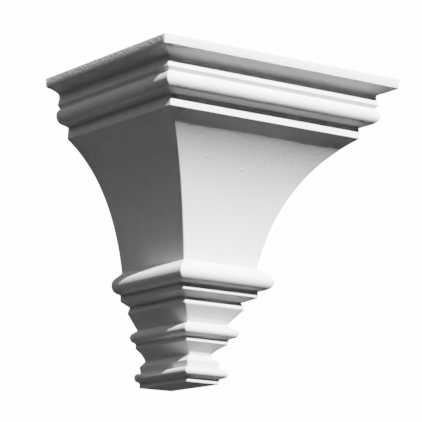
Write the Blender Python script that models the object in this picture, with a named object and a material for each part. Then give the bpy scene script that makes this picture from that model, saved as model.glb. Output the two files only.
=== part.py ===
"""Moulded corbel: one solid with a flat back.

The same run of mouldings goes along the left side, the front and the right side. It is described once, as a line that
starts at the slab's top edge and goes down to the foot. Each point of the line gives one level section of the solid, a
rectangle whose back edge lies on the wall.

Metres, +Z up. The wall is the plane y = 0, the front faces -Y, and the origin is the middle of the flat back.
"""
import math

import bmesh
import bpy

# Overall sizes
WIDTH = 0.300                # slab, along the wall
DEPTH = 0.234                # slab, out from the wall
HEIGHT = 0.325               # slab top to foot
FOOT_WIDTH = 0.0414          # lowest fascia, along the wall
FOOT_DEPTH = 0.093           # lowest fascia, out from the wall

# Slab and the hollow under it
SLAB_FACE = 0.0071
SLAB_ARRIS = 0.0026          # radius of the slab's lower edge
COVE_REACH = 0.0145
COVE_FALL = 0.0104
COVE_HANDLE = (0.98, 0.24)   # shares of reach and fall where the hollow's handle stands

# Lip under the hollow, which leans out, and the notch under it
LIP_FALL = 0.0068
LIP_LEAN = 0.0016
NOTCH_REACH = 0.0034
NOTCH_FALL = 0.0039

# Upper roll and the soffit behind it
UPPER_ROLL_RADIUS = 0.0093
UPPER_ROLL_TOP = 60.0        # degrees above level where the roll leaves the notch
UPPER_SOFFIT_REACH = 0.0051
UPPER_SOFFIT_FALL = 0.0015
UPPER_SOFFIT_TURN = 0.0012   # reach and fall of the turn from the soffit down into the fascia

# Fascia above the flared body
FASCIA_FALL = 0.0109
FASCIA_LEAN = 0.0007

# Flared body: its reach and its fall are what the mouldings above and below it leave
BODY_HANDLE = (0.785, 0.295)
BODY_STEPS = 24

# Big roll at the body's foot: a sloped wash, the roll itself and the step under it
MIDDLE_WASH_REACH = 0.0094
MIDDLE_WASH_FALL = 0.0071
MIDDLE_ROLL_RADIUS = 0.0092
MIDDLE_SOFFIT_REACH = 0.0026
MIDDLE_SOFFIT_FALL = 0.0010
STEP_FACE = 0.0043
STEP_ARRIS = 0.0036
STEP_SOFFIT_REACH = 0.0102
STEP_SOFFIT_FALL = 0.0044

# Small lip under the step, which leans out and ends in a bead, and the neck below it
COLLAR_LEAN = 0.0022
COLLAR_FALL = 0.0046
COLLAR_BEAD = 0.0032
NECK_REACH = 0.0125
NECK_FALL = 0.0163

# Second roll with its wash and fillet
LOWER_WASH_REACH = 0.0069
LOWER_WASH_FALL = 0.0038
LOWER_ROLL_RADIUS = 0.0052
LOWER_SOFFIT_REACH = 0.0026
LOWER_SOFFIT_FALL = 0.0019
LOWER_FILLET = 0.0047

# Hollow neck above the lowest roll
HOLLOW_REACH = 0.0127
HOLLOW_FALL = 0.0128
HOLLOW_HANDLE = (0.87, 0.51)

# Lowest fillet on its splay, lowest roll and foot
SPLAY_REACH = 0.0063
SPLAY_FALL = 0.0055
FILLET_ARRIS = 0.0018
FILLET_FALL = 0.0064
FILLET_LEAN = 0.0016
FOOT_ROLL_SHELF = 0.0035
FOOT_ROLL_RADIUS = 0.0047
FOOT_SOFFIT_REACH = 0.0022
FOOT_SOFFIT_FALL = 0.0013
FOOT_FASCIA = 0.0043
FOOT_ARRIS = 0.0010

# A hollow that starts level and ends upright
QUARTER_HANDLE = (1.0, 0.0)

# Fineness of the curves
ROLL_STEP = 15.0             # degrees of a roll between two sections
HOLLOW_STEPS = 6
TURN_STEPS = 3
SMOOTH_ANGLE = 32.0          # degrees; a sharper turn stays a hard edge

FINISH_COLOR = (0.84, 0.84, 0.83, 1.0)
FINISH_ROUGHNESS = 0.85


class MouldingLine:
    """A line of (inset, drop) points: how far in from the slab's side and how far down the line has come."""

    def __init__(self):
        self.points = [(0.0, 0.0)]

    @property
    def inset(self):
        return self.points[-1][0]

    @property
    def drop(self):
        return self.points[-1][1]

    def straight(self, reach, fall):
        """Go in by reach (out where it is negative) and down by fall."""
        self.points.append((self.inset + reach, self.drop + fall))

    def roll(self, radius, start, end):
        """A round that bulges out, between two facings in degrees above level."""
        inset, drop = self.inset, self.drop
        steps = max(1, math.ceil(abs(end - start) / ROLL_STEP))
        first = math.radians(start)
        for step in range(1, steps + 1):
            facing = math.radians(start + (end - start) * step / steps)
            self.points.append((inset + radius * (math.cos(first) - math.cos(facing)),
                                drop + radius * (math.sin(first) - math.sin(facing))))

    def hollow(self, reach, fall, handle, steps):
        """A curve with one handle, which stands at the given shares of reach and fall."""
        inset, drop = self.inset, self.drop
        for step in range(1, steps + 1):
            t = step / steps
            pull = 2 * t * (1 - t)
            self.points.append((inset + reach * (pull * handle[0] + t * t),
                                drop + fall * (pull * handle[1] + t * t)))

    def join(self, other):
        """Carry on with another line from where this one ends."""
        inset, drop = self.inset, self.drop
        self.points += [(inset + x, drop + y) for x, y in other.points[1:]]


def crown_mouldings():
    """Slab, hollow, lip, notch, upper roll and fascia."""
    line = MouldingLine()
    line.straight(0.0, SLAB_FACE)
    line.roll(SLAB_ARRIS, 0.0, -90.0)
    line.hollow(COVE_REACH, COVE_FALL, COVE_HANDLE, HOLLOW_STEPS)
    line.straight(-LIP_LEAN, LIP_FALL)
    line.straight(NOTCH_REACH, NOTCH_FALL)
    line.roll(UPPER_ROLL_RADIUS, UPPER_ROLL_TOP, -90.0)
    line.straight(UPPER_SOFFIT_REACH, UPPER_SOFFIT_FALL)
    line.hollow(UPPER_SOFFIT_TURN, UPPER_SOFFIT_TURN, QUARTER_HANDLE, TURN_STEPS)
    line.straight(-FASCIA_LEAN, FASCIA_FALL)
    return line


def wash_and_roll(line, reach, fall, radius):
    """A wash that slopes out from the wall of the piece above, and a roll that carries on from it without a break."""
    line.straight(-reach, fall)
    line.roll(radius, math.degrees(math.atan2(reach, fall)), -90.0)


def foot_mouldings():
    """Everything under the flared body, down to the foot's lower face."""
    line = MouldingLine()
    wash_and_roll(line, MIDDLE_WASH_REACH, MIDDLE_WASH_FALL, MIDDLE_ROLL_RADIUS)
    line.straight(MIDDLE_SOFFIT_REACH, MIDDLE_SOFFIT_FALL)
    line.straight(0.0, STEP_FACE)
    soffit_facing = -math.degrees(math.atan2(STEP_SOFFIT_REACH, STEP_SOFFIT_FALL))
    line.roll(STEP_ARRIS, 0.0, soffit_facing)
    line.straight(STEP_SOFFIT_REACH, STEP_SOFFIT_FALL)

    line.straight(-COLLAR_LEAN, COLLAR_FALL)
    collar_facing = math.degrees(math.atan2(COLLAR_LEAN, COLLAR_FALL))
    neck_facing = -math.degrees(math.atan2(NECK_REACH, NECK_FALL))
    line.roll(COLLAR_BEAD, collar_facing, neck_facing)
    line.straight(NECK_REACH, NECK_FALL)

    wash_and_roll(line, LOWER_WASH_REACH, LOWER_WASH_FALL, LOWER_ROLL_RADIUS)
    line.straight(LOWER_SOFFIT_REACH, LOWER_SOFFIT_FALL)
    line.straight(0.0, LOWER_FILLET)
    line.hollow(HOLLOW_REACH, HOLLOW_FALL, HOLLOW_HANDLE, HOLLOW_STEPS)

    line.straight(-SPLAY_REACH, SPLAY_FALL)
    splay_facing = math.degrees(math.atan2(SPLAY_REACH, SPLAY_FALL))
    line.roll(FILLET_ARRIS, splay_facing, 0.0)
    line.straight(FILLET_LEAN, FILLET_FALL)
    line.straight(-FOOT_ROLL_SHELF, 0.0)
    line.roll(FOOT_ROLL_RADIUS, 90.0, -90.0)
    line.straight(FOOT_SOFFIT_REACH, FOOT_SOFFIT_FALL)
    line.straight(0.0, FOOT_FASCIA)
    line.roll(FOOT_ARRIS, 0.0, -90.0)
    return line


def side_line():
    """The whole line of the sides. The flared body takes the reach and the fall that the mouldings leave."""
    line = crown_mouldings()
    foot = foot_mouldings()
    foot_inset = (WIDTH - FOOT_WIDTH) / 2 + FOOT_ARRIS
    body_reach = foot_inset - line.inset - foot.inset
    body_fall = HEIGHT - line.drop - foot.drop
    line.hollow(body_reach, body_fall, BODY_HANDLE, BODY_STEPS)
    line.join(foot)
    return line.points


def slab_box(bm, fall):
    """The slab's straight part, from the top down, with its back on the wall; returns its lower face."""
    bmesh.ops.create_cube(bm, size=1.0)
    bmesh.ops.scale(bm, vec=(WIDTH, DEPTH, fall), verts=bm.verts)
    bmesh.ops.translate(bm, vec=(0.0, -DEPTH / 2, (HEIGHT - fall) / 2), verts=bm.verts)
    return min(bm.faces, key=lambda face: face.calc_center_median().z)


def next_section(bm, face, width_change, depth_change, fall):
    """Extrude the lowest face down and scale it about the foot of the wall's middle line; returns the new face."""
    lowest = bmesh.ops.extrude_discrete_faces(bm, faces=[face])["faces"][0]
    bmesh.ops.scale(bm, vec=(width_change, depth_change, 1.0), verts=lowest.verts)
    bmesh.ops.translate(bm, vec=(0.0, 0.0, -fall), verts=lowest.verts)
    return lowest


def join_back_faces(bm):
    """The strips on the wall become one flat face."""
    back = [face for face in bm.faces if all(vert.co.y == 0.0 for vert in face.verts)]
    bmesh.ops.dissolve_faces(bm, faces=back)


def corbel_mesh(points):
    """The solid: every inset counts in full at each side, and times front_share at the front."""
    front_share = (DEPTH - FOOT_DEPTH) / ((WIDTH - FOOT_WIDTH) / 2)
    bm = bmesh.new()
    face = slab_box(bm, points[1][1] - points[0][1])
    for (inset, drop), (next_inset, next_drop) in zip(points[1:], points[2:]):
        width_change = (WIDTH - 2 * next_inset) / (WIDTH - 2 * inset)
        depth_change = (DEPTH - front_share * next_inset) / (DEPTH - front_share * inset)
        face = next_section(bm, face, width_change, depth_change, next_drop - drop)
    join_back_faces(bm)
    bmesh.ops.recalc_face_normals(bm, faces=bm.faces)
    mesh = bpy.data.meshes.new("corbel")
    bm.to_mesh(mesh)
    bm.free()
    mesh.shade_smooth()
    mesh.set_sharp_from_angle(angle=math.radians(SMOOTH_ANGLE))
    return mesh


def coated_finish():
    """Matt off-white coat."""
    material = bpy.data.materials.new("white_coat")
    material.use_nodes = True
    shader = material.node_tree.nodes["Principled BSDF"]
    shader.inputs["Base Color"].default_value = FINISH_COLOR
    shader.inputs["Roughness"].default_value = FINISH_ROUGHNESS
    shader.inputs["Metallic"].default_value = 0.0
    return material


def main():
    for old in list(bpy.data.objects):
        bpy.data.objects.remove(old, do_unlink=True)
    collection = bpy.data.collections.new("corbel")
    bpy.context.scene.collection.children.link(collection)

    corbel = bpy.data.objects.new("corbel", corbel_mesh(side_line()))
    corbel.data.materials.append(coated_finish())
    collection.objects.link(corbel)


main()
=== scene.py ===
"""Moulded corbel: its coated surface, the studio around it and the camera of the photograph.

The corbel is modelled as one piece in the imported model's place. A thin box is the slab's upper part, and
everything under it is extruded down from its lowest face. The same line of mouldings goes along both sides
and the front.

Metres, +Z up. The wall is the plane y = 0, and the front faces -Y.
"""
import math

import bmesh
import bpy
from mathutils import Matrix, Vector


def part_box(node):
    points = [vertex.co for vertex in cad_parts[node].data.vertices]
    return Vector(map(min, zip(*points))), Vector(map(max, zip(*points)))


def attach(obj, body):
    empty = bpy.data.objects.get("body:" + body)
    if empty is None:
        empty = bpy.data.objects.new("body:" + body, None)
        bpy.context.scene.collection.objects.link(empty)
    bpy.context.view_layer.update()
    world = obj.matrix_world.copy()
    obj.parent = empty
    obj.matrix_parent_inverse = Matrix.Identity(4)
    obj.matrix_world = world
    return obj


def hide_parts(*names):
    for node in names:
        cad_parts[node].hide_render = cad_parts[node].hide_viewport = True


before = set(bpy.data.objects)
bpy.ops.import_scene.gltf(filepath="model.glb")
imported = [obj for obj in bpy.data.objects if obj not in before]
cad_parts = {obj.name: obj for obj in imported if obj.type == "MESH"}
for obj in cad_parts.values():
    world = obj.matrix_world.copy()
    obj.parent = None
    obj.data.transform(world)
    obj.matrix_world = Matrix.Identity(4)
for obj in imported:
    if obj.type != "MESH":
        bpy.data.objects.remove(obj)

bl_info = {
    "name": "Moulded corbel",
    "version": (1, 0, 0),
    "blender": (4, 5, 0),
    "location": "View3D > Sidebar > Corbel",
    "description": "Models a coated wall corbel, its studio and its camera",
    "category": "Add Mesh",
}

CAD_LOW, CAD_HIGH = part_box("corbel")
CAD_SIZE = CAD_HIGH - CAD_LOW
IMAGE_SIDE = 422             # pixels, the photograph's frame
SENSOR_WIDTH = 36.0          # millimetres, Blender's usual camera back
FARTHEST_SEEN = 100.0        # metres, beyond the whole floor

SIDEWAYS = 0.0                         # facings of the line, as angles above level
UPWARDS = math.radians(90.0)
UNDERNEATH = math.radians(-90.0)

QUARTER_HANDLE = (1.0, 0.0)            # a hollow that starts level and ends upright
SHARP_TURN = math.radians(25.0)        # a sharper turn of the line is an edge or a crease
SMOOTH_ANGLE = math.radians(34.0)      # faces that meet at less than this are shaded as one surface

WALL_TOLERANCE = 1e-6
LEVEL_TOLERANCE = 1e-7
SHORTEST_CUT_EDGE = 0.006    # round a front corner the edges are shorter, and aren't cut
LEVEL_FACE = 0.999           # a face is level where its normal is upright by at least this share
CAP_CORNERS = 4              # the top and the foot's lower face have more corners than this
CUT_CAP_CORNERS = 50         # and more than this, once the long faces are cut

WAVE_DETAIL = 2
FULL_WEIGHT = 1.0
ONLY_INWARDS = 1.0           # the middle of a displacement that never comes out
LARGEST_FACE_RULES = 100     # weight with which the largest face sets the shading of its corners

GRAIN_DETAIL = 3.0
NOISE_MIDDLE = 0.5           # the middle of a noise texture's values
PATCH_DETAIL = 2.0
PATCH_RANGE = (0.35, 0.70)   # noise values where a patch starts and is full
SPECK_REACH = 0.34           # widest speck's radius, as a share of the spacing
SPECK_SPREAD = 2.0           # a higher power makes wide specks rarer
EDGE_FADE = 0.0012           # metres over which the slab's rough grain fades out
FULL_BUMP = 1.0
METRES = 1.0                 # a bump's heights are in metres
WHITE = (1.0, 1.0, 1.0, 1.0)

ALL_COLORS = 3               # the tone curve that acts on red, green and blue together
TONE_POINTS = ((0.015, 0.013), (0.08, 0.105), (0.17, 0.24), (0.57, 0.64))


def length(name, description, default):
    """A size in metres that a user can change."""
    return bpy.props.FloatProperty(name=name, description=description, default=default, precision=5,
                                   subtype="DISTANCE", unit="LENGTH")


def share(name, description, default):
    """A number from 0 to 1 that a user can change."""
    return bpy.props.FloatProperty(name=name, description=description, default=default,
                                   min=0.0, max=1.0, subtype="FACTOR")


def handle(name, description, default):
    """The shares of reach and fall where a hollow's handle stands."""
    return bpy.props.FloatVectorProperty(name=name, description=description, default=default, size=2)


def turn(name, description, degrees):
    """An angle that a user can change."""
    return bpy.props.FloatProperty(name=name, description=description, default=math.radians(degrees),
                                   subtype="ANGLE", unit="ROTATION")


def tint(name, description, default):
    """A colour that a user can change."""
    return bpy.props.FloatVectorProperty(name=name, description=description, default=default, size=3,
                                         min=0.0, max=1.0, subtype="COLOR")


def watts(name, description, default):
    """A light's power that a user can change."""
    return bpy.props.FloatProperty(name=name, description=description, default=default, min=0.0,
                                   subtype="POWER", unit="POWER")


def count(name, description, default):
    """A whole number that a user can change."""
    return bpy.props.IntProperty(name=name, description=description, default=default, min=1)


class CorbelSizes(bpy.types.PropertyGroup):
    """Every moulding's size. A reach is measured in from the side, a fall is measured down."""

    width: length("Width", "Slab, along the wall", CAD_SIZE.x)
    depth: length("Depth", "Slab, out from the wall", CAD_SIZE.y)
    height: length("Height", "Slab top to foot", CAD_SIZE.z)
    foot_width: length("Foot width", "Lowest fascia, along the wall", 0.0414)
    foot_depth: length("Foot depth", "Lowest fascia, out from the wall", 0.093)

    slab_face: length("Slab face", "Height of the slab's flat edge", 0.0028)
    slab_wear: length("Slab wear", "Radius of the slow round under that flat", 0.0370)
    slab_wear_turn: turn("Slab wear turn", "How far the slow round turns in", 10.0)
    slab_arris: length("Slab arris", "Radius of the slab's lower edge", 0.0016)
    cove_reach: length("Cove reach", "Reach of the hollow under the slab", 0.0149)
    cove_fall: length("Cove fall", "Fall of the hollow under the slab", 0.0074)
    cove_handle: handle("Cove handle", "Where the handle of the hollow under the slab stands", (0.97, 0.36))
    cove_upright: length("Cove upright", "Height of the upright part at the hollow's foot", 0.0029)
    lip_fall: length("Lip fall", "Height of the lip under the hollow", 0.0067)
    lip_lean: length("Lip lean", "How far that lip leans out", 0.0016)
    notch_reach: length("Notch reach", "Reach of the notch under the lip", 0.0034)
    notch_fall: length("Notch fall", "Fall of the notch under the lip", 0.0039)

    upper_roll_radius: length("Upper roll radius", "Radius of the roll under the slab", 0.0093)
    upper_roll_top: turn("Upper roll top", "Facing where that roll leaves the notch", 60.0)
    upper_soffit_reach: length("Upper soffit reach", "Reach of the soffit behind the upper roll", 0.0051)
    upper_soffit_fall: length("Upper soffit fall", "Fall of the soffit behind the upper roll", 0.0015)
    upper_soffit_turn: length("Upper soffit turn", "Turn from that soffit into the fascia", 0.0012)
    fascia_fall: length("Fascia fall", "Height of the fascia above the flared body", 0.0118)
    fascia_lean: length("Fascia lean", "How far that fascia leans out", 0.0007)

    body_handle: handle("Body handle", "Where the handle of the flared body's curve stands", (0.785, 0.295))

    middle_wash_reach: length("Middle wash reach", "Reach of the slope above the big roll", 0.0094)
    middle_wash_fall: length("Middle wash fall", "Fall of the slope above the big roll", 0.0071)
    middle_roll_radius: length("Middle roll radius", "Radius of the big roll", 0.0092)
    middle_soffit_reach: length("Middle soffit reach", "Reach of the soffit behind the big roll", 0.0026)
    middle_soffit_fall: length("Middle soffit fall", "Fall of the soffit behind the big roll", 0.0010)
    step_face: length("Step face", "Height of the step under the big roll", 0.0056)
    step_arris: length("Step arris", "Radius of that step's lower edge", 0.0016)
    step_soffit_reach: length("Step soffit reach", "Reach of the step's sloping soffit", 0.0114)
    step_soffit_fall: length("Step soffit fall", "Fall of the step's sloping soffit", 0.0049)

    collar_lean: length("Collar lean", "How far the small lip under the step leans out", 0.0022)
    collar_fall: length("Collar fall", "Height of that lip", 0.0046)
    collar_bead: length("Collar bead", "Radius of the bead at that lip's foot", 0.0032)
    neck_reach: length("Neck reach", "Reach of the straight neck", 0.0125)
    neck_fall: length("Neck fall", "Fall of the straight neck", 0.0163)

    lower_wash_reach: length("Lower wash reach", "Reach of the slope above the second roll", 0.0069)
    lower_wash_fall: length("Lower wash fall", "Fall of the slope above the second roll", 0.0038)
    lower_roll_radius: length("Lower roll radius", "Radius of the second roll", 0.0052)
    lower_soffit_reach: length("Lower soffit reach", "Reach of the soffit behind the second roll", 0.0026)
    lower_soffit_fall: length("Lower soffit fall", "Fall of the soffit behind the second roll", 0.0019)
    lower_fillet: length("Lower fillet", "Height of the fillet under the second roll", 0.0047)

    hollow_reach: length("Hollow reach", "Reach of the hollow neck", 0.0127)
    hollow_fall: length("Hollow fall", "Fall of the hollow neck", 0.0128)
    hollow_handle: handle("Hollow handle", "Where the handle of the hollow neck stands", (0.87, 0.51))

    splay_reach: length("Splay reach", "Reach of the splay above the lowest fillet", 0.0063)
    splay_fall: length("Splay fall", "Fall of the splay above the lowest fillet", 0.0055)
    fillet_arris: length("Fillet arris", "Radius of the lowest fillet's upper edge", 0.0018)
    fillet_fall: length("Fillet fall", "Height of the lowest fillet", 0.0067)
    fillet_lean: length("Fillet lean", "How far the lowest fillet leans in", 0.0016)
    foot_roll_shelf: length("Foot roll shelf", "Level shelf on top of the lowest roll", 0.0035)
    foot_shelf_fall: length("Foot shelf fall", "How far that shelf slopes down", 0.0002)
    foot_roll_radius: length("Foot roll radius", "Radius of the lowest roll", 0.0047)
    foot_soffit_reach: length("Foot soffit reach", "Reach of the soffit behind the lowest roll", 0.0022)
    foot_soffit_fall: length("Foot soffit fall", "Fall of the soffit behind the lowest roll", 0.0013)
    foot_fascia: length("Foot fascia", "Height of the foot's fascia", 0.0045)
    foot_arris: length("Foot arris", "Radius of the foot's lower edge", 0.0003)

    arris: length("Arris", "How far in the coat rounds off a sharp edge or fills a crease", 0.0006)
    top_arris: length("Top arris", "Radius of the slab's upper edge", 0.0010)
    slab_corner: length("Slab corner", "Radius of the slab's front corners, seen from above", 0.0030)
    mitre_corner: length("Mitre corner", "Radius of the mouldings' front corners, seen from above", 0.0014)
    cap_border: length("Cap border", "Width of the border round the top and the foot's lower face", 0.0005)


class CorbelFineness(bpy.types.PropertyGroup):
    """How finely the curves and the long faces are divided."""

    roll_step: turn("Roll step", "Turn between two sections of a roll", 9.0)
    hollow_steps: count("Hollow steps", "Sections of a small hollow", 12)
    body_steps: count("Body steps", "Sections of the flared body", 70)
    turn_steps: count("Turn steps", "Sections of a small turn", 3)
    arris_steps: count("Arris steps", "Sections of a softened edge", 4)
    corner_steps: count("Corner steps", "Strips round a front corner", 4)
    front_cuts: count("Front cuts", "Upright cuts of the front", 100)
    side_cuts: count("Side cuts", "Upright cuts of each side", 78)


class CorbelFinish(bpy.types.PropertyGroup):
    """The coat's colour and the unevenness of the surface under it."""

    coat_color: tint("Coat", "Colour of the clean coat", (0.76, 0.76, 0.755))
    thin_color: tint("Thin coat", "Colour where the coat is thinner", (0.735, 0.735, 0.728))
    roughness: share("Roughness", "Roughness of the matt coat", 0.62)
    gloss: share("Gloss", "Strength of the coat's reflection", 0.30)
    patch_size: length("Patch size", "Size of the coat's soft patches", 0.045)
    wave_size: length("Wave size", "Length of the casting's slow waves", 0.060)
    wave_depth: length("Wave depth", "Depth of the casting's slow waves", 0.00030)
    grain_size: length("Grain size", "Size of the coat's fine grain", 0.0045)
    grain_depth: length("Grain depth", "Depth of the coat's fine grain", 0.00018)
    speck_spacing: length("Speck spacing", "Distance between specks under the coat", 0.0095)
    speck_height: length("Speck height", "Height of a speck as broad as twice the spacing", 0.0010)
    slab_grain_size: length("Slab grain size", "Size of the rough grain on the slab's edge", 0.0030)
    slab_grain_depth: length("Slab grain depth", "Depth of the rough grain on the slab's edge", 0.0008)


class CorbelStudio(bpy.types.PropertyGroup):
    """Floor, lights and camera."""

    floor_drop: length("Floor drop", "From the corbel's foot down to the floor", 1.60)
    floor_side: length("Floor side", "Side of the square floor", 14.0)
    floor_color: tint("Floor", "Colour of the floor", (0.74, 0.74, 0.73))
    floor_roughness: share("Floor roughness", "Roughness of the floor", 0.9)
    floor_gloss: share("Floor gloss", "Strength of the floor's reflection", 0.1)
    floor_glow: share("Floor glow", "How bright the floor shows by itself to the camera", 0.75)
    key_turn: turn("Key turn", "Key light, turned from the front towards the right", -7.8)
    key_rise: turn("Key rise", "Key light, height above level", 36.7)
    key_distance: length("Key distance", "Key light, from the corbel", 5.0)
    key_radius: length("Key radius", "Radius of the key light's opening", 0.02)
    key_cone: turn("Key cone", "Full angle of the key light's cone", 9.0)
    key_power: watts("Key power", "Power of the key light", 1400.0)
    fill_turn: turn("Fill turn", "Fill light, turned from the front towards the right", -120.0)
    fill_rise: turn("Fill rise", "Fill light, height above level", 40.0)
    fill_distance: length("Fill distance", "Fill light, from the corbel", 3.0)
    fill_size: length("Fill size", "Side of the square fill light", 2.2)
    fill_power: watts("Fill power", "Power of the fill light", 6.3)
    back_turn: turn("Back turn", "Back light, turned from the front towards the right", 118.0)
    back_rise: turn("Back rise", "Back light, height above level", 12.0)
    back_distance: length("Back distance", "Back light, from the corbel", 3.0)
    back_radius: length("Back radius", "Radius of the back light's opening", 0.25)
    back_cone: turn("Back cone", "Full angle of the back light's cone", 14.0)
    back_power: watts("Back power", "Power of the back light", 18.0)
    cone_blend: share("Cone blend", "Softness of the rims of the key and back lights' cones", 0.35)
    sky_color: tint("Sky", "Colour of the light from all round", (1.0, 1.0, 1.0))
    sky_strength: share("Sky strength", "Strength of the light from all round", 0.001)
    backdrop_strength: bpy.props.FloatProperty(name="Backdrop", description="White that the camera sees",
                                               default=1.4)
    tone: bpy.props.FloatProperty(name="Tone", description="Gamma that lifts the shadows", default=1.68)
    brightest: share("Brightest", "What the tone curve makes of full white", 0.845)
    camera_turn: turn("Camera turn", "Camera, turned from the front towards the right", -34.1914)
    camera_rise: turn("Camera rise", "Camera, height above level", -10.9395)
    camera_roll: turn("Camera roll", "Camera, rolled anticlockwise", 1.1729)
    camera_distance: length("Camera distance", "Camera, from the point that it aims at", 2.44017)
    camera_focus: bpy.props.FloatProperty(name="Focal length", description="In pixels of the photograph",
                                          default=2188.13, subtype="PIXEL")
    camera_aim: bpy.props.FloatVectorProperty(name="Camera aim", description="Point that the camera aims at",
                                              default=(0.05996, -0.01238, 0.04137), size=3,
                                              subtype="TRANSLATION", unit="LENGTH")


class MouldingLine:
    """A line of (inset, drop) points: how far in from the slab's side and how far down the line has come."""

    def __init__(self, fineness):
        self.fineness = fineness
        self.points = [(0.0, 0.0)]

    @property
    def inset(self):
        """How far in the line has come."""
        return self.points[-1][0]

    @property
    def drop(self):
        """How far down the line has come."""
        return self.points[-1][1]

    def straight(self, reach, fall):
        """Go in by reach (out where it is negative) and down by fall."""
        self.points.append((self.inset + reach, self.drop + fall))

    def roll(self, radius, start, end, steps=None):
        """A round that bulges out, between two facings above level."""
        inset, drop = self.inset, self.drop
        steps = steps or max(1, math.ceil(abs(end - start) / self.fineness.roll_step))
        for step in range(1, steps + 1):
            facing = start + (end - start) * step / steps
            self.points.append((inset + radius * (math.cos(start) - math.cos(facing)),
                                drop + radius * (math.sin(start) - math.sin(facing))))

    def hollow(self, reach, fall, handle_shares, steps):
        """A curve with one handle, which stands at the given shares of reach and fall."""
        inset, drop = self.inset, self.drop
        for step in range(1, steps + 1):
            t = step / steps
            pull = 2 * t * (1 - t)
            self.points.append((inset + reach * (pull * handle_shares[0] + t * t),
                                drop + fall * (pull * handle_shares[1] + t * t)))

    def wash_and_roll(self, reach, fall, radius):
        """A slope that comes out from the piece above, and a roll that carries on from it smoothly."""
        self.straight(-reach, fall)
        self.roll(radius, math.atan2(reach, fall), UNDERNEATH)

    def join(self, other):
        """Carry on with another line from where this one ends."""
        inset, drop = self.inset, self.drop
        self.points += [(inset + x, drop + y) for x, y in other.points[1:]]


def slab_upright(sizes):
    """Height of the slab's edge down to its lower arris: the flat and the slow round under it."""
    return sizes.slab_face + sizes.slab_wear * math.sin(sizes.slab_wear_turn)


def crown_mouldings(sizes, fineness):
    """Slab, hollow, lip, notch, upper roll and fascia."""
    line = MouldingLine(fineness)
    line.straight(0.0, sizes.slab_face)
    line.roll(sizes.slab_wear, SIDEWAYS, -sizes.slab_wear_turn, fineness.hollow_steps)
    line.roll(sizes.slab_arris, -sizes.slab_wear_turn, UNDERNEATH)
    line.hollow(sizes.cove_reach, sizes.cove_fall, sizes.cove_handle, fineness.hollow_steps)
    line.straight(0.0, sizes.cove_upright)
    line.straight(-sizes.lip_lean, sizes.lip_fall)
    line.straight(sizes.notch_reach, sizes.notch_fall)
    line.roll(sizes.upper_roll_radius, sizes.upper_roll_top, UNDERNEATH)
    line.straight(sizes.upper_soffit_reach, sizes.upper_soffit_fall)
    line.hollow(sizes.upper_soffit_turn, sizes.upper_soffit_turn, QUARTER_HANDLE, fineness.turn_steps)
    line.straight(-sizes.fascia_lean, sizes.fascia_fall)
    return line


def foot_mouldings(sizes, fineness):
    """Everything under the flared body, down to the foot's lower face."""
    line = MouldingLine(fineness)
    line.wash_and_roll(sizes.middle_wash_reach, sizes.middle_wash_fall, sizes.middle_roll_radius)
    line.straight(sizes.middle_soffit_reach, sizes.middle_soffit_fall)
    line.straight(0.0, sizes.step_face)
    line.roll(sizes.step_arris, SIDEWAYS, -math.atan2(sizes.step_soffit_reach, sizes.step_soffit_fall))
    line.straight(sizes.step_soffit_reach, sizes.step_soffit_fall)

    line.straight(-sizes.collar_lean, sizes.collar_fall)
    line.roll(sizes.collar_bead, math.atan2(sizes.collar_lean, sizes.collar_fall),
              -math.atan2(sizes.neck_reach, sizes.neck_fall))
    line.straight(sizes.neck_reach, sizes.neck_fall)

    line.wash_and_roll(sizes.lower_wash_reach, sizes.lower_wash_fall, sizes.lower_roll_radius)
    line.straight(sizes.lower_soffit_reach, sizes.lower_soffit_fall)
    line.straight(0.0, sizes.lower_fillet)
    line.hollow(sizes.hollow_reach, sizes.hollow_fall, sizes.hollow_handle, fineness.hollow_steps)

    line.straight(-sizes.splay_reach, sizes.splay_fall)
    line.roll(sizes.fillet_arris, math.atan2(sizes.splay_reach, sizes.splay_fall), SIDEWAYS)
    line.straight(sizes.fillet_lean, sizes.fillet_fall)
    line.straight(-sizes.foot_roll_shelf, sizes.foot_shelf_fall)
    line.roll(sizes.foot_roll_radius, UPWARDS, UNDERNEATH)
    line.straight(sizes.foot_soffit_reach, sizes.foot_soffit_fall)
    line.straight(0.0, sizes.foot_fascia)
    line.roll(sizes.foot_arris, SIDEWAYS, UNDERNEATH)
    return line


def side_line(sizes, fineness):
    """The whole line of the sides. The flared body takes the reach and the fall that the mouldings leave."""
    line = crown_mouldings(sizes, fineness)
    foot = foot_mouldings(sizes, fineness)
    foot_inset = (sizes.width - sizes.foot_width) / 2 + sizes.foot_arris
    body_reach = foot_inset - line.inset - foot.inset
    body_fall = sizes.height - line.drop - foot.drop
    line.hollow(body_reach, body_fall, sizes.body_handle, fineness.body_steps)
    line.join(foot)
    return [Vector(point) for point in line.points]


def soften(points, arris, steps):
    """Round off each sharp turn of the line, as a coat of paint does, and drop points that fall together."""
    soft = [points[0]]
    for before, here, after in zip(points, points[1:], points[2:]):
        arriving, leaving = here - before, after - here
        if arriving.length == 0.0 or abs(arriving.angle_signed(leaving)) < SHARP_TURN:
            soft.append(here)
            continue
        first = here - arriving.normalized() * min(arris, arriving.length / 2)
        last = here + leaving.normalized() * min(arris, leaving.length / 2)
        for step in range(steps + 1):
            t = step / steps
            soft.append(first * (1 - t) ** 2 + here * 2 * t * (1 - t) + last * t * t)
    soft.append(points[-1])
    apart = [here for before, here in zip(soft, soft[1:]) if (here - before).length > LEVEL_TOLERANCE]
    return [soft[0], *apart]


def deselect_all():
    """Leave nothing selected, so that an operator acts only on what it is given."""
    if bpy.context.object and bpy.context.object.mode != "OBJECT":
        bpy.ops.object.mode_set(mode="OBJECT")
    bpy.ops.object.select_all(action="DESELECT")


def edited_mesh():
    """The mesh in edit mode, for selecting by place."""
    return bmesh.from_edit_mesh(bpy.context.edit_object.data)


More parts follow.
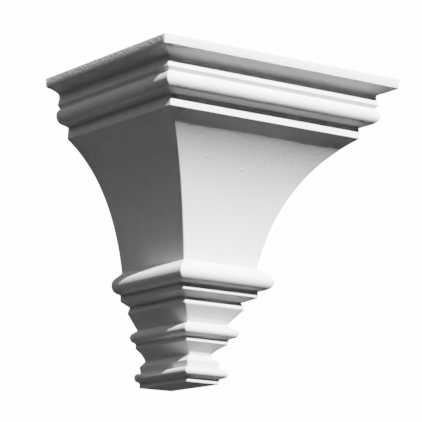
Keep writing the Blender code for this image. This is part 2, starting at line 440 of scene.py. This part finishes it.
def show_selection():
    """Hand a changed selection back to the mesh in edit mode."""
    bmesh.update_edit_mesh(bpy.context.edit_object.data, loop_triangles=False, destructive=False)


def unselected_mesh():
    """The mesh in edit mode, with nothing in it selected."""
    bm = edited_mesh()
    for part in (bm.verts, bm.edges, bm.faces):
        for item in part:
            item.select = False
    return bm


def select_verts(chosen):
    """Select these vertices of the edited mesh, and what lies between them."""
    bm = unselected_mesh()
    bm.verts.ensure_lookup_table()
    for index in chosen:
        bm.verts[index].select = True
    bm.select_flush(True)
    show_selection()


def select_edges(test):
    """Select the edges of the edited mesh that pass the test on their two ends."""
    for edge in unselected_mesh().edges:
        start, end = (vert.co for vert in edge.verts)
        if test(start, end):
            edge.select_set(True)
    show_selection()


def on_wall(point):
    """Whether a point lies on the wall's plane."""
    return abs(point.y) < WALL_TOLERANCE


def start_slab(sizes, fineness):
    """The slab's plain box, its back on the wall, with its front corners and upper edge rounded."""
    deselect_all()
    top = sizes.height / 2
    bpy.ops.mesh.primitive_cube_add(size=1.0, location=(0.0, -sizes.depth / 2, top - sizes.slab_face / 2),
                                    scale=(sizes.width, sizes.depth, sizes.slab_face))
    slab = bpy.context.object
    bpy.ops.object.transform_apply(location=True, rotation=True, scale=True)
    bpy.ops.object.mode_set(mode="EDIT")
    select_edges(lambda a, b: abs(a.z - b.z) > LEVEL_TOLERANCE and not on_wall(a))
    bpy.ops.mesh.bevel(offset=sizes.slab_corner, segments=fineness.corner_steps, affect="EDGES")
    upper = top - LEVEL_TOLERANCE
    select_edges(lambda a, b: a.z > upper and b.z > upper and not (on_wall(a) and on_wall(b)))
    bpy.ops.mesh.bevel(offset=sizes.top_arris, segments=fineness.arris_steps, affect="EDGES")
    return slab


def lowest_verts():
    """The vertices of the lowest face, as places in the mesh's list."""
    bm = edited_mesh()
    low = min(vert.co.z for vert in bm.verts) + LEVEL_TOLERANCE
    return [vert.index for vert in bm.verts if vert.co.z < low]


def move_verts(chosen, offset):
    """Move some vertices by a straight offset."""
    select_verts(chosen)
    bpy.ops.transform.translate(value=offset)


def next_section(reach, front_reach, fall):
    """Extrude the lowest face down, then bring its sides in by reach and its front in by front_reach."""
    bpy.ops.mesh.extrude_region_move(TRANSFORM_OT_translate={"value": (0.0, 0.0, -fall)})
    lowest = [(vert.index, vert.co.copy()) for vert in edited_mesh().verts if vert.select]
    move_verts([index for index, place in lowest if place.x < 0.0], (reach, 0.0, 0.0))
    move_verts([index for index, place in lowest if place.x > 0.0], (-reach, 0.0, 0.0))
    move_verts([index for index, place in lowest if not on_wall(place)], (0.0, front_reach, 0.0))
    select_verts([index for index, place in lowest])


def resize_corners(share_left, half_width, depth):
    """Scale both front corners' rounds of the lowest face about the sharp corners that they stand in for."""
    lowest = [(vert.index, vert.co.copy()) for vert in edited_mesh().verts if vert.select]
    for side in (-1, 1):
        select_verts([index for index, place in lowest if place.x * side > 0 and not on_wall(place)])
        bpy.ops.transform.resize(value=(share_left, share_left, 1.0),
                                 center_override=(side * half_width, -depth, 0.0))
    select_verts([index for index, place in lowest])


def extrude_mouldings(sizes, points):
    """All sections under the slab's box. The front comes in by more than the sides do, in proportion."""
    front_share = (sizes.depth - sizes.foot_depth) / ((sizes.width - sizes.foot_width) / 2)
    select_verts(lowest_verts())
    corner = sizes.slab_corner
    for here, there in zip(points[1:], points[2:]):
        reach = there.x - here.x
        next_section(reach, front_share * reach, there.y - here.y)
        # Along the slab's lower arris the corners go from the slab's radius to the mouldings'.
        below = max(0.0, there.y - slab_upright(sizes))
        wanted = max(sizes.mitre_corner, sizes.slab_corner - below / sizes.slab_arris
                     * (sizes.slab_corner - sizes.mitre_corner))
        if wanted < corner:
            resize_corners(wanted / corner, sizes.width / 2 - there.x, sizes.depth - front_share * there.x)
            corner = wanted


def select_caps(more_corners_than):
    """Select the top and the foot's lower face: the level faces with many corners."""
    for face in unselected_mesh().faces:
        if abs(face.normal.z) > LEVEL_FACE and len(face.verts) > more_corners_than:
            face.select_set(True)
    show_selection()


def delete_caps():
    """Take out the top and the foot's lower face, so that the long faces can be cut."""
    select_caps(CAP_CORNERS)
    bpy.ops.mesh.delete(type="ONLY_FACE")


def cut_long_faces(fineness):
    """Cut the front and the sides upright, finely enough for the casting's slow waves."""
    def level_edge(a, b):
        return abs(a.z - b.z) < LEVEL_TOLERANCE and (a - b).length > SHORTEST_CUT_EDGE

    select_edges(lambda a, b: level_edge(a, b) and abs(a.y - b.y) < LEVEL_TOLERANCE and not on_wall(a))
    bpy.ops.mesh.subdivide(number_cuts=fineness.front_cuts)
    select_edges(lambda a, b: level_edge(a, b) and abs(a.x - b.x) < LEVEL_TOLERANCE)
    bpy.ops.mesh.subdivide(number_cuts=fineness.side_cuts)


def close_caps(sizes):
    """Close the top and the foot, each with a narrow border round a flat face."""
    bpy.ops.mesh.select_all(action="DESELECT")
    bpy.ops.mesh.select_mode(type="EDGE")
    bpy.ops.mesh.select_non_manifold(extend=False, use_wire=False, use_boundary=True,
                                     use_multi_face=False, use_non_contiguous=False, use_verts=False)
    bpy.ops.mesh.fill_holes(sides=0)
    bpy.ops.mesh.select_mode(type="FACE")
    select_caps(CUT_CAP_CORNERS)
    bpy.ops.mesh.inset(thickness=sizes.cap_border, use_individual=True)
    bpy.ops.mesh.select_all(action="SELECT")
    bpy.ops.mesh.normals_make_consistent(inside=False)
    bpy.ops.mesh.select_mode(type="VERT")


def add_slow_waves(corbel, finish):
    """Dent the front and the sides by a fraction of a millimetre: the casting isn't quite even."""
    worked = corbel.vertex_groups.new(name="worked_faces")
    foot, top = CAD_LOW.z + WALL_TOLERANCE, CAD_HIGH.z - WALL_TOLERANCE
    inner = [vert.index for vert in corbel.data.vertices if not on_wall(vert.co) and foot < vert.co.z < top]
    worked.add(inner, FULL_WEIGHT, "REPLACE")
    waves = bpy.data.textures.new("slow_waves", "CLOUDS")
    waves.noise_scale = finish.wave_size
    waves.noise_depth = WAVE_DETAIL
    dent = corbel.modifiers.new("slow_waves", "DISPLACE")
    dent.texture = waves
    dent.texture_coords = "LOCAL"
    dent.direction = "NORMAL"
    dent.vertex_group = worked.name
    dent.mid_level = ONLY_INWARDS
    dent.strength = finish.wave_depth
    bpy.ops.object.modifier_apply(modifier=dent.name)
    corbel.vertex_groups.clear()


def keep_flats_flat(corbel):
    """Shade each flat evenly, and let the narrow rounds beside it take the whole turn."""
    flats = corbel.modifiers.new("even_flats", "WEIGHTED_NORMAL")
    flats.mode = "FACE_AREA"
    flats.weight = LARGEST_FACE_RULES
    flats.keep_sharp = True
    bpy.ops.object.modifier_apply(modifier=flats.name)


def model_corbel(sizes, fineness, finish):
    """The whole corbel as one closed mesh."""
    corbel = start_slab(sizes, fineness)
    corbel.name = corbel.data.name = "corbel_cast"
    points = soften(side_line(sizes, fineness), sizes.arris, fineness.arris_steps)
    extrude_mouldings(sizes, points)
    delete_caps()
    cut_long_faces(fineness)
    close_caps(sizes)
    bpy.ops.object.mode_set(mode="OBJECT")
    add_slow_waves(corbel, finish)
    bpy.ops.object.shade_smooth_by_angle(angle=SMOOTH_ANGLE)
    keep_flats_flat(corbel)
    return corbel


def new_group(name, inputs, outputs):
    """A shader node group with its sockets, given as (name, kind, default) and (name, kind)."""
    group = bpy.data.node_groups.new(name, "ShaderNodeTree")
    for socket_name, kind, default in inputs:
        socket = group.interface.new_socket(socket_name, in_out="INPUT", socket_type=kind)
        if default is not None:
            socket.default_value = default
    for socket_name, kind in outputs:
        group.interface.new_socket(socket_name, in_out="OUTPUT", socket_type=kind)
    return group, group.nodes.new("NodeGroupInput"), group.nodes.new("NodeGroupOutput")


def math_node(nodes, links, operation, first, second):
    """A math node between two sockets or numbers; returns its result."""
    node = nodes.new("ShaderNodeMath")
    node.operation = operation
    for place, value in enumerate((first, second)):
        if isinstance(value, bpy.types.NodeSocket):
            links.new(value, node.inputs[place])
        else:
            node.inputs[place].default_value = value
    return node.outputs["Value"]


def noise_node(nodes, links, vector, scale, detail):
    """A noise texture on the given coordinates; returns its grey value."""
    node = nodes.new("ShaderNodeTexNoise")
    node.inputs["Detail"].default_value = detail
    links.new(vector, node.inputs["Vector"])
    links.new(scale, node.inputs["Scale"])
    return node.outputs["Fac"]


def inverse(nodes, links, size):
    """One over a size: a texture's scale."""
    return math_node(nodes, links, "DIVIDE", 1.0, size)


def grain_group():
    """Fine grain: heights in metres around zero."""
    group, given, result = new_group(
        "Fine grain",
        [("Vector", "NodeSocketVector", None), ("Grain size", "NodeSocketFloat", 0.001),
         ("Grain depth", "NodeSocketFloat", 0.00001)],
        [("Height", "NodeSocketFloat")])
    nodes, links = group.nodes, group.links
    noise = noise_node(nodes, links, given.outputs["Vector"],
                       inverse(nodes, links, given.outputs["Grain size"]), GRAIN_DETAIL)
    centred = math_node(nodes, links, "SUBTRACT", noise, NOISE_MIDDLE)
    links.new(math_node(nodes, links, "MULTIPLY", centred, given.outputs["Grain depth"]),
              result.inputs["Height"])
    return group


def speck_group():
    """Specks under the coat: low round bumps of many sizes, most of them too small to see."""
    group, given, result = new_group(
        "Specks",
        [("Vector", "NodeSocketVector", None), ("Spacing", "NodeSocketFloat", 0.006),
         ("Speck height", "NodeSocketFloat", 0.00003)],
        [("Height", "NodeSocketFloat")])
    nodes, links = group.nodes, group.links
    cells = nodes.new("ShaderNodeTexVoronoi")
    links.new(given.outputs["Vector"], cells.inputs["Vector"])
    links.new(inverse(nodes, links, given.outputs["Spacing"]), cells.inputs["Scale"])
    size = nodes.new("ShaderNodeSeparateColor")
    links.new(cells.outputs["Color"], size.inputs["Color"])
    spread = math_node(nodes, links, "POWER", size.outputs["Red"], SPECK_SPREAD)
    reach = math_node(nodes, links, "MULTIPLY", spread, SPECK_REACH)
    dome = nodes.new("ShaderNodeMapRange")
    dome.interpolation_type = "SMOOTHSTEP"
    links.new(cells.outputs["Distance"], dome.inputs["Value"])
    links.new(reach, dome.inputs["From Max"])
    dome.inputs["From Min"].default_value = 0.0
    dome.inputs["To Min"].default_value = 1.0
    dome.inputs["To Max"].default_value = 0.0
    links.new(math_node(nodes, links, "MULTIPLY", dome.outputs["Result"],
                        math_node(nodes, links, "MULTIPLY", reach, given.outputs["Speck height"])),
              result.inputs["Height"])
    return group


def patches_group():
    """Soft patches where the coat is thinner: a mask from 0 to 1."""
    group, given, result = new_group(
        "Soft patches",
        [("Vector", "NodeSocketVector", None), ("Patch size", "NodeSocketFloat", 0.05)],
        [("Mask", "NodeSocketFloat")])
    nodes, links = group.nodes, group.links
    noise = noise_node(nodes, links, given.outputs["Vector"],
                       inverse(nodes, links, given.outputs["Patch size"]), PATCH_DETAIL)
    ramp = nodes.new("ShaderNodeMapRange")
    links.new(noise, ramp.inputs["Value"])
    ramp.inputs["From Min"].default_value, ramp.inputs["From Max"].default_value = PATCH_RANGE
    links.new(ramp.outputs["Result"], result.inputs["Mask"])
    return group


def slab_edge_group():
    """A mask that is 1 on the slab's edge, from a given height up, and 0 below."""
    group, given, result = new_group(
        "Slab edge",
        [("Vector", "NodeSocketVector", None), ("From height", "NodeSocketFloat", 0.15)],
        [("Mask", "NodeSocketFloat")])
    nodes, links = group.nodes, group.links
    place = nodes.new("ShaderNodeSeparateXYZ")
    links.new(given.outputs["Vector"], place.inputs["Vector"])
    above = math_node(nodes, links, "SUBTRACT", place.outputs["Z"], given.outputs["From height"])
    ramp = nodes.new("ShaderNodeMapRange")
    ramp.interpolation_type = "SMOOTHSTEP"
    links.new(above, ramp.inputs["Value"])
    ramp.inputs["From Min"].default_value, ramp.inputs["From Max"].default_value = -EDGE_FADE, EDGE_FADE
    links.new(ramp.outputs["Result"], result.inputs["Mask"])
    return group


def add_group(nodes, group, **values):
    """Place a node group, with numbers for the inputs that are named; an underscore stands for a space."""
    node = nodes.new("ShaderNodeGroup")
    node.node_tree = group
    for name, value in values.items():
        node.inputs[name.replace("_", " ")].default_value = value
    return node


def coat_material(sizes, finish):
    """Matt white coat on cast plaster: soft patches, fine grain, specks, and a rough slab edge."""
    material = bpy.data.materials.new("white_coat")
    material.use_nodes = True
    nodes, links = material.node_tree.nodes, material.node_tree.links
    shader = nodes["Principled BSDF"]
    shader.inputs["Roughness"].default_value = finish.roughness
    shader.inputs["Specular IOR Level"].default_value = finish.gloss
    place = nodes.new("ShaderNodeTexCoord").outputs["Object"]

    patches = add_group(nodes, patches_group(), Patch_size=finish.patch_size)
    links.new(place, patches.inputs["Vector"])
    color = nodes.new("ShaderNodeMix")
    color.data_type = "RGBA"
    links.new(patches.outputs["Mask"], color.inputs["Factor"])
    color.inputs["A"].default_value = (*finish.coat_color, 1.0)
    color.inputs["B"].default_value = (*finish.thin_color, 1.0)
    links.new(color.outputs["Result"], shader.inputs["Base Color"])

    grain = grain_group()
    fine = add_group(nodes, grain, Grain_size=finish.grain_size, Grain_depth=finish.grain_depth)
    rough = add_group(nodes, grain, Grain_size=finish.slab_grain_size, Grain_depth=finish.slab_grain_depth)
    specks = add_group(nodes, speck_group(), Spacing=finish.speck_spacing, Speck_height=finish.speck_height)
    edge = add_group(nodes, slab_edge_group(),
                     From_height=sizes.height / 2 - slab_upright(sizes) - sizes.slab_arris)
    for node in (fine, rough, specks, edge):
        links.new(place, node.inputs["Vector"])
    rough_edge = math_node(nodes, links, "MULTIPLY", rough.outputs["Height"], edge.outputs["Mask"])
    height = math_node(nodes, links, "ADD", fine.outputs["Height"], specks.outputs["Height"])
    height = math_node(nodes, links, "ADD", height, rough_edge)
    bump = nodes.new("ShaderNodeBump")
    bump.inputs["Strength"].default_value = FULL_BUMP
    bump.inputs["Distance"].default_value = METRES
    links.new(height, bump.inputs["Height"])
    links.new(bump.outputs["Normal"], shader.inputs["Normal"])
    return material


def floor_material(studio):
    """Plain pale floor. It glows to the camera only, since the lamps hardly reach it."""
    material = bpy.data.materials.new("pale_floor")
    material.use_nodes = True
    nodes, links = material.node_tree.nodes, material.node_tree.links
    shader = nodes["Principled BSDF"]
    shader.inputs["Roughness"].default_value = studio.floor_roughness
    shader.inputs["Specular IOR Level"].default_value = studio.floor_gloss
    shader.inputs["Base Color"].default_value = (*studio.floor_color, 1.0)
    shader.inputs["Emission Color"].default_value = (*studio.floor_color, 1.0)
    seen = nodes.new("ShaderNodeLightPath").outputs["Is Camera Ray"]
    glow = math_node(nodes, links, "MULTIPLY", seen, studio.floor_glow)
    links.new(glow, shader.inputs["Emission Strength"])
    return material


def toward(turned, rise):
    """The direction from the corbel to what stands turned from its front and raised above level."""
    return Vector((math.sin(turned) * math.cos(rise), -math.cos(turned) * math.cos(rise), math.sin(rise)))


def add_floor(studio):
    """The floor, well under the corbel."""
    deselect_all()
    bpy.ops.mesh.primitive_plane_add(size=studio.floor_side, location=(0, 0, CAD_LOW.z - studio.floor_drop))
    floor = bpy.context.object
    floor.name = "studio_floor"
    bpy.ops.object.transform_apply(location=True, rotation=True, scale=True)
    floor.data.materials.append(floor_material(studio))


def add_light(name, kind, place, **settings):
    """Hang a lamp so that it faces the corbel's middle; place is its turn, its rise and its distance."""
    data = bpy.data.lights.new(name, kind)
    for setting, value in settings.items():
        setattr(data, setting, value)
    light = bpy.data.objects.new(name, data)
    bpy.context.collection.objects.link(light)
    turned, rise, distance = place
    back = toward(turned, rise)
    light.location = (CAD_LOW + CAD_HIGH) / 2 + back * distance
    light.rotation_euler = back.to_track_quat("Z", "Y").to_euler()


def add_key_light(studio):
    """The key light: a lamp with a small opening, whose cone takes in the corbel and little of the floor."""
    add_light("key_light", "SPOT", (studio.key_turn, studio.key_rise, studio.key_distance),
              energy=studio.key_power, shadow_soft_size=studio.key_radius,
              spot_size=studio.key_cone, spot_blend=studio.cone_blend)


def add_fill_light(studio):
    """The fill light: a wide soft panel behind the shaded side."""
    add_light("fill_light", "AREA", (studio.fill_turn, studio.fill_rise, studio.fill_distance),
              energy=studio.fill_power, shape="SQUARE", size=studio.fill_size)


def add_back_light(studio):
    """A weaker lamp behind the other side, for views from the right and from the back."""
    add_light("back_light", "SPOT", (studio.back_turn, studio.back_rise, studio.back_distance),
              energy=studio.back_power, shadow_soft_size=studio.back_radius,
              spot_size=studio.back_cone, spot_blend=studio.cone_blend)


def add_sky(studio):
    """White to the camera, and a weak even light for everything else."""
    world = bpy.data.worlds.new("studio_sky")
    world.use_nodes = True
    nodes, links = world.node_tree.nodes, world.node_tree.links
    weak = nodes["Background"]
    weak.inputs["Color"].default_value = (*studio.sky_color, 1.0)
    weak.inputs["Strength"].default_value = studio.sky_strength
    white = nodes.new("ShaderNodeBackground")
    white.inputs["Color"].default_value = WHITE
    white.inputs["Strength"].default_value = studio.backdrop_strength
    chosen = nodes.new("ShaderNodeMixShader")
    links.new(nodes.new("ShaderNodeLightPath").outputs["Is Camera Ray"], chosen.inputs["Fac"])
    links.new(weak.outputs["Background"], chosen.inputs[1])
    links.new(white.outputs["Background"], chosen.inputs[2])
    links.new(chosen.outputs["Shader"], nodes["World Output"].inputs["Surface"])
    bpy.context.scene.world = world


def set_tone(view, studio):
    """The picture's tone: gamma lifts the shadows, and a curve holds back the brightest parts."""
    view.view_transform = "Standard"
    view.gamma = studio.tone
    view.use_curve_mapping = True
    curve = view.curve_mapping.curves[ALL_COLORS]
    curve.points[-1].location = (1.0, studio.brightest)
    for given, shown in TONE_POINTS:
        curve.points.new(given, shown)
    view.curve_mapping.update()


def add_camera(studio):
    """The photograph's view: from below and from the left front corner."""
    data = bpy.data.cameras.new("photo_camera")
    data.sensor_width = SENSOR_WIDTH
    data.lens = SENSOR_WIDTH * studio.camera_focus / IMAGE_SIDE
    data.clip_end = FARTHEST_SEEN
    camera = bpy.data.objects.new("photo_camera", data)
    bpy.context.collection.objects.link(camera)
    back = toward(studio.camera_turn, studio.camera_rise)
    right = Vector((math.cos(studio.camera_turn), math.sin(studio.camera_turn), 0.0))
    level = Matrix((right, back.cross(right), back)).transposed()
    rolled = level @ Matrix.Rotation(studio.camera_roll, 3, "Z")
    camera.matrix_world = (Matrix.Translation(Vector(studio.camera_aim) + back * studio.camera_distance)
                           @ rolled.to_4x4())
    bpy.context.scene.camera = camera


class CORBEL_OT_model(bpy.types.Operator):
    """Model the corbel and give it its coat"""

    bl_idname = "corbel.model"
    bl_label = "Model corbel"

    def execute(self, context):
        scene = context.scene
        corbel = model_corbel(scene.corbel_sizes, scene.corbel_fineness, scene.corbel_finish)
        corbel.data.materials.append(coat_material(scene.corbel_sizes, scene.corbel_finish))
        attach(corbel, "root")
        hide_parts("corbel")
        return {"FINISHED"}


class CORBEL_OT_stage(bpy.types.Operator):
    """Set up the floor, the lights, the sky and the photograph's camera"""

    bl_idname = "corbel.stage"
    bl_label = "Set up studio"

    def execute(self, context):
        studio = context.scene.corbel_studio
        add_floor(studio)
        add_key_light(studio)
        add_fill_light(studio)
        add_back_light(studio)
        add_sky(studio)
        add_camera(studio)
        set_tone(context.scene.view_settings, studio)
        return {"FINISHED"}


class CORBEL_PT_panel(bpy.types.Panel):
    """Sizes, finish and studio of the corbel, with the two steps that build the scene"""

    bl_idname = "CORBEL_PT_panel"
    bl_label = "Moulded corbel"
    bl_space_type = "VIEW_3D"
    bl_region_type = "UI"
    bl_category = "Corbel"

    def draw(self, context):
        scene = context.scene
        self.layout.operator(CORBEL_OT_model.bl_idname)
        self.layout.operator(CORBEL_OT_stage.bl_idname)
        for group in (scene.corbel_sizes, scene.corbel_fineness, scene.corbel_finish, scene.corbel_studio):
            box = self.layout.box()
            for name in group.__annotations__:
                box.prop(group, name)


GROUPS = {
    "corbel_sizes": CorbelSizes,
    "corbel_fineness": CorbelFineness,
    "corbel_finish": CorbelFinish,
    "corbel_studio": CorbelStudio,
}
CLASSES = (*GROUPS.values(), CORBEL_OT_model, CORBEL_OT_stage, CORBEL_PT_panel)


def register():
    """Make the settings, the operators and the panel known to Blender."""
    for cls in CLASSES:
        bpy.utils.register_class(cls)
    for name, group in GROUPS.items():
        setattr(bpy.types.Scene, name, bpy.props.PointerProperty(type=group))


def unregister():
    """Take them away again."""
    for name in GROUPS:
        delattr(bpy.types.Scene, name)
    for cls in reversed(CLASSES):
        bpy.utils.unregister_class(cls)


def main():
    """Build everything."""
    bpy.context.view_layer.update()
    register()
    bpy.ops.corbel.model()
    bpy.ops.corbel.stage()


if __name__ == "__main__":
    main()
